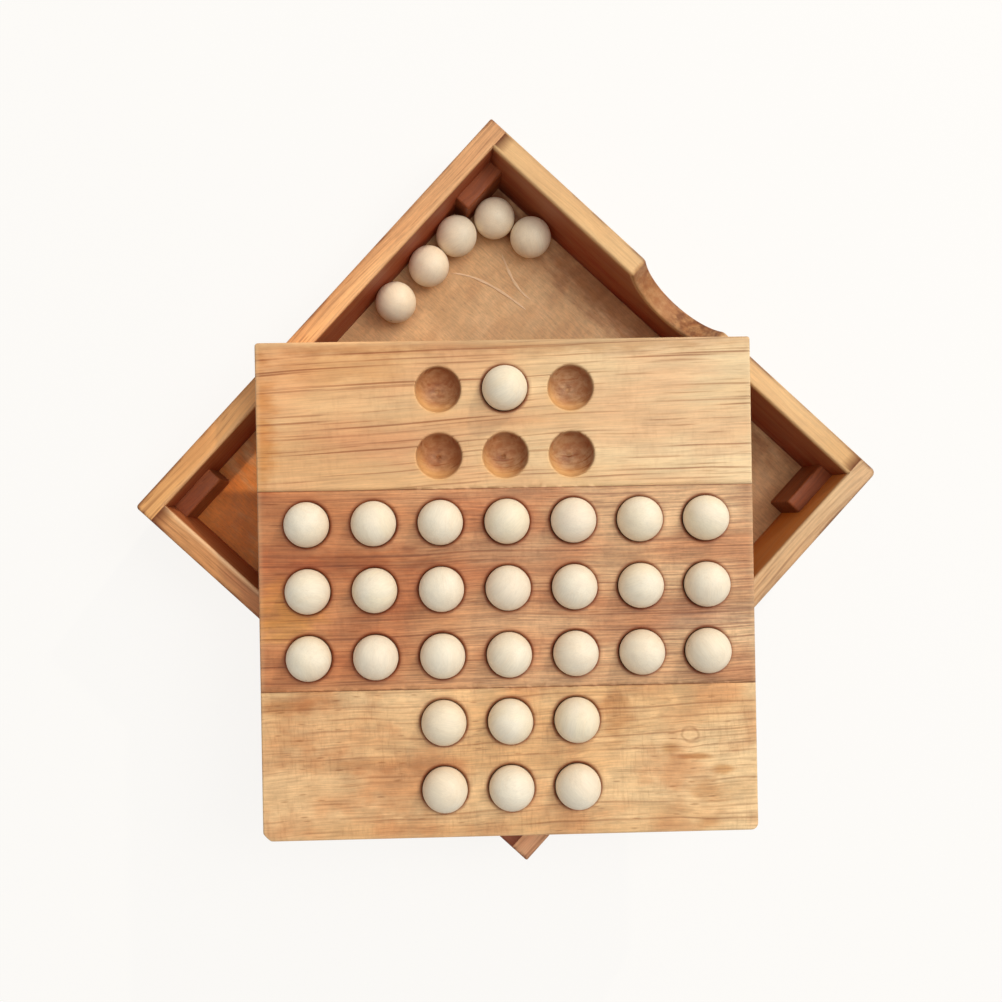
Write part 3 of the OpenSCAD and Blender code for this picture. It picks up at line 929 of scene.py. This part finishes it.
# %% [markdown]
# ## Hollows, turned and let into the board
# A round-nosed cutter makes each hollow: a dish a little wider than the ball, a small pit from the
# cutter's point, and a lip that sanding has rounded. That profile is turned round, and its outer rings are
# drawn out from a circle to a square, so that one patch fills exactly one square of the board's lattice.

# %% The patch that carries one hollow
SIDE_STEPS = 16  # lattice steps along one square of the board
LIP = 0.55  # radius of the sanded lip
PIT_RADIUS, PIT_DEPTH = 0.7, 0.5
SCAR_RADIUS = 2.3  # reach of the torn wood round the pit


def hollow_profile():
    """Radius and depth from the pit's edge out to the flat: dish of a sphere, then the lip's arc.

    The lip circle lies under the top and touches both the top and the dish, as a rolling ball would.
    """
    over = hollow_radius - hollow_depth  # height of the dish's centre over the top
    lip_r = math.sqrt((hollow_radius + LIP) ** 2 - (over + LIP) ** 2)
    end = math.atan2(lip_r, over + LIP)
    start = math.asin(PIT_RADIUS / hollow_radius)
    swing = np.linspace(start, end, 22)
    dish = hollow_radius * np.sin(swing), over - hollow_radius * np.cos(swing)
    roll = np.linspace(end, 0, 7)[1:]
    lip = lip_r - LIP * np.sin(roll), -LIP + LIP * np.cos(roll)
    pit = np.array([0.25, 0.5, 0.85]) * PIT_RADIUS
    sink = dish[1][0] - PIT_DEPTH * (1 - (pit / PIT_RADIUS) ** 1.5)
    return np.concatenate([pit, dish[0], lip[0]]), np.concatenate([sink, dish[1], lip[1]])


def hollow_patch():
    """Points, faces and marks of one hollow in a square of side pitch round the origin.

    Ring by ring, the place is (1 - t) * circle + t * square: t is 0 in the dish and grows to 1.
    """
    edge = np.linspace(-0.5, 0.5, SIDE_STEPS + 1)[:-1] * pitch
    half = np.full(SIDE_STEPS, pitch / 2)
    sides = (edge, -half), (half, edge), (-edge, half), (-half, -edge)
    square = np.concatenate([np.stack(side, 1) for side in sides])
    angle = np.arctan2(square[:, 1], square[:, 0])
    circle = np.stack([np.cos(angle), np.sin(angle)], 1)
    radius, depth = hollow_profile()
    outer = np.array([0.12, 0.4, 0.7, 1.0])
    t = np.concatenate([0 * radius, outer])
    radius = np.concatenate([radius, np.full(len(outer), radius[-1])])
    depth = np.concatenate([depth, np.zeros(len(outer))])
    rings = (1 - t)[:, None, None] * radius[:, None, None] * circle + t[:, None, None] * square
    height = np.broadcast_to(depth[:, None, None], (*rings.shape[:2], 1))
    points = np.concatenate([rings, height], axis=2).reshape(-1, 3)
    count = len(square)
    quads = ring_quads(len(t), count)
    pole = len(points)
    points = np.concatenate([points, [[0, 0, depth[3] - PIT_DEPTH]]])
    fan = np.stack([np.full(count, pole), np.arange(count), (np.arange(count) + 1) % count], 1)
    far = np.hypot(points[:, 0], points[:, 1])
    # the side of the dish away from the lamps, for painted shade
    against = np.clip(-(points[:, 0] + points[:, 1]) / math.sqrt(2) / hollow_radius, 0, 1)
    scar = 0.7 * np.exp(-((far / SCAR_RADIUS) ** 2))
    # painted shade on that side of an empty dish, from just below the rim
    soaked = 0.76 * against * np.clip(-points[:, 2], 0, 1)
    cut = np.clip((-points[:, 2] - 0.25) / 1.1, 0, 1)
    # painted contact shadow: a dark ring at the mouth round a ball, for the filled hollows
    lip = np.exp(-(((far - hollow_radius - 0.1) / 0.5) ** 2))
    # painted highlight: a pale crescent on the lit side of the lip, for the empty hollows
    sanded = np.exp(-(((far - hollow_radius + 1.0) / 1.4) ** 2))
    sanded = sanded * np.clip((points[:, 0] + 1.6 * points[:, 1]) / 1.9 / hollow_radius, 0, 1)
    return points, quads, fan, cut, scar, lip, soaked, sanded


patch = hollow_patch()
print("one hollow:", len(patch[0]), "points,", len(patch[1]) + len(patch[2]), "faces")

# %% [markdown]
# ## The three strips of the playing board
# The board is glued up from three strips, edge to edge. Each is a lattice plank whose lines fall on the
# squares of the hollows: the squares that carry a hollow are left open and the patch is welded in. The
# four corners were broken by hand and all differ a little.

# %% Make the strips
BOARD_EASE = 0.55
CORNERS = {(1, 1): (2.1, 1.15), (-1, 1): (1.8, 2.0), (1, -1): (0.9, 2.0), (-1, -1): (0.7, 2.0)}
ARM = 3  # hollows from the middle of the board to the end of an arm
ROWS = np.arange(-ARM, ARM + 1)


def lay_on_rim(points):
    """Turn and move what is drawn on the board's own centre to where the board lies."""
    c, s = math.cos(board_turn), math.sin(board_turn)
    x, y = points[:, 0], points[:, 1]
    turned = np.stack([c * x - s * y, s * x + c * y], axis=1) + board_middle
    return np.column_stack([turned, points[:, 2]])


def weld(points, faces, marks):
    """Merge points that lie on the same place, to a thousandth of a millimetre."""
    _, first, new = np.unique(np.round(points, 3), axis=0, return_index=True, return_inverse=True)
    return points[first], [new.ravel()[f] for f in faces], [m[first] for m in marks]


def board_strip(node, name, finish, slot, low, high):
    """One strip between two lines across the board, with its hollows welded in."""
    squares = (np.arange(7 * SIDE_STEPS + 1) / SIDE_STEPS - 3.5) * pitch
    edges = np.concatenate([-board_half + NEAR_EDGE, board_half - NEAR_EDGE])
    cuts = np.unique(np.round(np.concatenate([edges, squares]), 4))
    within = (cuts > low - CLOSE) & (cuts < high + CLOSE)
    lines = [cuts, cuts[within], cut_lines(board_low, board_top, 2.0)]
    points, quads = lattice_skin(lines, np.ones([len(line) - 1 for line in lines], bool))
    centre = points[quads].mean(axis=1)
    col, row = np.round(centre[:, 0] / pitch), np.round(centre[:, 1] / pitch)
    in_cross = (np.minimum(abs(col), abs(row)) <= 1) & (np.maximum(abs(col), abs(row)) <= ARM)
    open_square = in_cross & (centre[:, 2] > board_top - CLOSE)
    holes = np.unique(np.stack([col, row], 1)[open_square], axis=0)
    stacks = [(points, [quads[~open_square]], [np.zeros(len(points))] * 4)]
    for hole in holes:
        cup, ring, fan, cut, scar, lip, soaked, sanded = patch
        col, row = (hole + ARM + 1).astype(int)
        filled = f"ball_row{row}_col{col}" in frame["nodes"]
        # a filled hollow gets the painted dark ring round its ball; an empty one gets the painted shade on
        # its dark side and the painted highlight on its lit lip
        marks = [cut, scar, lip if filled else soaked, sanded * (not filled)]
        stacks.append((cup + np.array([*(hole * pitch), board_top]), [ring, fan], marks))
    shift = np.cumsum([0] + [len(s[0]) for s in stacks[:-1]])
    faces = [f + n for s, n in zip(stacks, shift) for f in s[1]]
    points = np.concatenate([s[0] for s in stacks])
    marks = [np.concatenate([s[2][i] for s in stacks]) for i in range(4)]
    points, faces, (cut, scar, seam, sanded) = weld(points, faces, marks)
    inset = board_half - np.abs(points[:, :2]).max(axis=1)
    # pale rubbed edges of the board, raised also as a painted highlight along them
    wear = np.clip(1.4 - np.hypot(inset, board_top - points[:, 2]) / (2 * BOARD_EASE), 0, 1) * 0.35
    for edge, sign in ((board_top, 1), (board_low, -1)):
        points = ease_rim(points, board_half, edge, sign, BOARD_EASE)
    for (x, y), (radius, sharpness) in CORNERS.items():
        points = ease_edge(points, (0, x * board_half, x), (1, y * board_half, y), radius, sharpness)
    place_piece(name, lay_on_rim(points), [f for block in faces for f in block.tolist()], "board", slot,
                FINISHES[finish], node, worn=wear, cut=cut, scar=scar, seam=seam, sanded=sanded)
    return len(holes)


edges = [-board_half, -1.5 * pitch, 1.5 * pitch, board_half]
looks = [
    ("first_strip", "pale_board_wood"), ("middle_strip", "russet_board_wood"),
    ("last_strip", "pale_board_wood"),
]
made = [
    board_strip(node, "hollowed_" + finish, finish, slot, low, high)
    for node, (finish, slot), low, high in zip(STRIPS, looks, edges, edges[1:])
]
print("hollows in the three strips:", made)

# %% [markdown]
# ## Balls turned from a pale wood
# The balls are turned from a close, pale wood with a few dark specks. Every ball has rolled to its own way
# round, so each mesh carries its own grain places and tint on its points, and one finish serves all.
# The balls in the tray are tinted warmer and a little brighter, as painted light against the tray's shade.

# %% The finish of the balls
def ball_finish():
    """Pale close-grained wood on the ball's own grain places, with its tint, a few dark specks, and painted
    light on the balls in the tray.
    """
    material, tree, shader = new_material("pale ball wood")
    place = mark(tree, "grain_place", "Vector")
    tint = mark(tree, "tint")
    grain = use_group(tree, plank_grain, {
        "Place": vector_maths(tree, "MULTIPLY", place, (1.6, 1.6, 1.6)), "Pale": linear(241, 232, 212),
        "Deep": mix(tree, tint, linear(240, 228, 200), linear(239, 225, 204)),
        "Flush": linear(238, 218, 190), "Streak": linear(214, 180, 136), "Lines": 0.1, "Fine": 0.07,
        "Pores": 0.06, "Hatch": 0.0, "Blotch": 0.25, "Sway": 1.0, "End": 0.0})
    dot = fade(tree, cells(tree, place, (0.09, 0.12, 0.12))[0], 0.02, 0.045, 0.5, 0.0)
    # the balls in the tray get a warmer, slightly brighter colour: painted light against the tray's shade
    color = mix(tree, mark(tree, "handled"), grain["Color"], (1.04, 1.0, 0.94, 1.0), "MULTIPLY")
    feed(tree, shader.inputs["Base Color"], mix(tree, dot, color, linear(120, 84, 52)))
    feed(tree, shader.inputs["Roughness"], maths(tree, "SUBTRACT", grain["Roughness"], 0.06))
    raise_grain(tree, shader, grain["Height"], 0.25, 0.06)
    shader.inputs["Specular IOR Level"].default_value = 0.35
    return material


ball_wood = ball_finish()
print("ball finish has", len(ball_wood.node_tree.nodes), "nodes")

# %% [markdown]
# ## The shape of a turned ball
# A turned ball is never quite a sphere: it is a hair flat where it was parted off at both ends of its grain,
# and slightly out of round. So it is a sphere on a grid of two angles with both faults taken off its radius,
# and a seeded draw gives every ball its own turn.

# %% Turn the balls
ROUND, TALL = 64, 32  # steps round a ball and from end to end
FLAT = 0.05  # mm taken off at both ends of the grain
OUT_OF_ROUND = 0.03  # mm taken off across the grain
BALL_STEP = 40.0  # mm between the wood of two balls


def turned_ball(radius, lean):
    """Points and faces of one ball, x along its grain.

    Radius over the angle e from the grain's end and the turn f: R - FLAT * exp(-(sin e / 0.3)^2)
    - OUT_OF_ROUND * (1 + cos(2 f + lean)) / 2 * sin(e)^2.
    """
    e = np.linspace(0, math.pi, TALL + 1)[1:-1, None]
    f = np.linspace(0, 2 * math.pi, ROUND, endpoint=False)[None, :]
    reach = radius - FLAT * np.exp(-((np.sin(e) / 0.3) ** 2))
    reach = reach - OUT_OF_ROUND * (1 + np.cos(2 * f + lean)) / 2 * np.sin(e) ** 2
    off = reach * np.sin(e)
    grid = np.stack([reach * np.cos(e), off * np.cos(f), off * np.sin(f)], axis=2)
    ends = np.array([[radius - FLAT, 0, 0], [FLAT - radius, 0, 0]])
    quads = ring_quads(TALL - 1, ROUND)
    near = np.arange(ROUND)
    far = near + (TALL - 2) * ROUND
    top, bottom = grid[..., 0].size, grid[..., 0].size + 1
    fan_top = np.stack([np.full(ROUND, top), near, np.roll(near, -1)], 1)
    fan_bottom = np.stack([np.full(ROUND, bottom), np.roll(far, -1), far], 1)
    faces = quads.tolist() + fan_top.tolist() + fan_bottom.tolist()
    return np.concatenate([grid.reshape(-1, 3), ends]), faces


def any_turn(draw):
    """A random rotation matrix: three drawn directions made square to each other."""
    turn, _ = np.linalg.qr(draw.normal(size=(3, 3)))
    return turn * np.sign(np.linalg.det(turn))


draw = np.random.default_rng(33)
balls = sorted(n for n in frame["nodes"] if "ball" in n)
for number, node in enumerate(balls):
    grain_place, faces = turned_ball(ball_radius, draw.uniform(0, 6))
    points = grain_place @ any_turn(draw).T + middle(node)
    place_piece(
        node.replace("ball", "turned_ball", 1), points, faces, BODY_OF[node], "ball_wood", ball_wood, node,
        grain_place=grain_place + np.array([BALL_STEP * number, 0, 0]),
        tint=np.full(len(points), draw.uniform()),
        # 1 for the balls in the tray, which get painted light
        handled=np.full(len(points), float(node.startswith("taken"))))

# %% [markdown]
# ## Floor, light and sky
# The set lies on a plain pale surface. The light is soft: an even sky, a broad lamp overhead, one large lamp
# at the picture's upper right, which draws the dark side of each hollow and the thin shadow round each ball,
# both deepened by painted shade on the wood, and a small lamp lower on that side. A narrow beam from there
# reaches under the board and lights a patch of the tray's far corner. Camera rays see the floor mostly as
# plain backdrop, so it is pale and keeps the shadow, and far away it passes into the backdrop without a
# line.

# %% Stage and light
FLOOR_SIZE = 9.0
FLOOR_GLOW = 0.88  # share of the floor near the set that camera rays see as plain backdrop
GLOW_NEAR, GLOW_FAR = 0.35, 2.2  # metres between which that share grows to 1
SKY = 0.37
BACKDROP = (255, 253, 250)
LAMP_DISTANCE = 1.2  # metres


def pale_floor():
    """A wide flat sheet whose tone varies a little, mixed with the backdrop's colour for camera rays."""
    mesh = bpy.data.meshes.new("pale_floor")
    reach = np.array([[-1, -1, 0], [1, -1, 0], [1, 1, 0], [-1, 1, 0]]) * FLOOR_SIZE
    mesh.from_pydata(reach.tolist(), [], [(0, 1, 2, 3)])
    floor = bpy.data.objects.new("pale_floor", mesh)
    bpy.context.scene.collection.objects.link(floor)
    material, tree, shader = new_material("pale paper floor")
    here = tree.nodes.new("ShaderNodeTexCoord")
    tone = noise(tree, here.outputs["Object"], (9.0, 9.0, 9.0), 3.0)
    feed(tree, shader.inputs["Base Color"], mix(tree, tone, linear(234, 235, 233), linear(240, 240, 239)))
    shader.inputs["Roughness"].default_value = 0.9
    glow = tree.nodes.new("ShaderNodeEmission")
    glow.inputs["Color"].default_value = linear(*BACKDROP)
    ray = tree.nodes.new("ShaderNodeLightPath")
    blend = tree.nodes.new("ShaderNodeMixShader")
    seen = maths(tree, "MAXIMUM", ray.outputs["Is Camera Ray"], ray.outputs["Is Glossy Ray"])
    away = vector_maths(tree, "LENGTH", here.outputs["Object"], output="Value")
    feed(tree, blend.inputs[0], times(tree, seen, fade(tree, away, GLOW_NEAR, GLOW_FAR, FLOOR_GLOW, 1.0)))
    feed(tree, blend.inputs[1], shader.outputs[0])
    feed(tree, blend.inputs[2], glow.outputs[0])
    feed(tree, tree.nodes["Material Output"].inputs["Surface"], blend.outputs[0])
    mesh.materials.append(material)


def even_sky():
    """An even pale sky that lights at SKY and shows as near white to the camera."""
    world = bpy.data.worlds.new("even sky")
    bpy.context.scene.world = world
    world.use_nodes = True
    tree = world.node_tree
    light = tree.nodes["Background"]
    ray = tree.nodes.new("ShaderNodeLightPath")
    seen = maths(tree, "MAXIMUM", ray.outputs["Is Camera Ray"], ray.outputs["Is Glossy Ray"])
    light.inputs["Color"].default_value = linear(*BACKDROP)
    feed(tree, light.inputs["Strength"], maths(tree, "MULTIPLY_ADD", seen, 1.0 - SKY, SKY))


def place_lamp(name, kind, turn, lift, power, color, target):
    """A lamp turned to its target: degrees right of the picture's up, then degrees over the floor."""
    lamp = bpy.data.objects.new(name, bpy.data.lights.new(name, kind))
    bpy.context.scene.collection.objects.link(lamp)
    lamp.data.energy = power
    lamp.data.color = color
    turn, lift = math.radians(turn), math.radians(lift)
    flat = picture_to_tray(math.sin(turn), math.cos(turn))
    away = np.array([flat[0] * math.cos(lift), flat[1] * math.cos(lift), math.sin(lift)])
    lamp.location = np.array(target) * MM + away * LAMP_DISTANCE
    lamp.rotation_euler = (math.pi / 2 - lift, 0, math.atan2(-away[1], -away[0]) - math.pi / 2)
    return lamp.data


def soft_lamp(name, turn, lift, size, power, color):
    """A square area lamp over the board, its side in metres."""
    place_lamp(name, "AREA", turn, lift, power, color, (*board_middle, board_top)).size = size


def narrow_beam(name, turn, lift, radius, power, color, target):
    """A spot lamp whose beam is round, soft at its rim and of the given radius in mm where it lands."""
    beam = place_lamp(name, "SPOT", turn, lift, power, color, target)
    beam.spot_size = 2 * math.atan(radius * MM / LAMP_DISTANCE)
    beam.spot_blend = 0.6
    beam.shadow_soft_size = 0.012


pale_floor()
even_sky()
soft_lamp("ceiling lamp", 42.0, 84.0, 0.9, 4.1, (1.0, 0.98, 0.95))
soft_lamp("window", 62.0, 52.0, 0.6, 5.5, (1.0, 0.98, 0.94))
soft_lamp("low lamp", 32.5, 25.8, 0.025, 4.0, (1.0, 0.85, 0.66))
narrow_beam("beam into the corner", 36.3, 26.8, 22.0, 27.0, (1.0, 0.85, 0.66), (56.0, 50.0, floor_top))
bpy.context.scene.view_settings.view_transform = "Standard"
print("stage and light made")
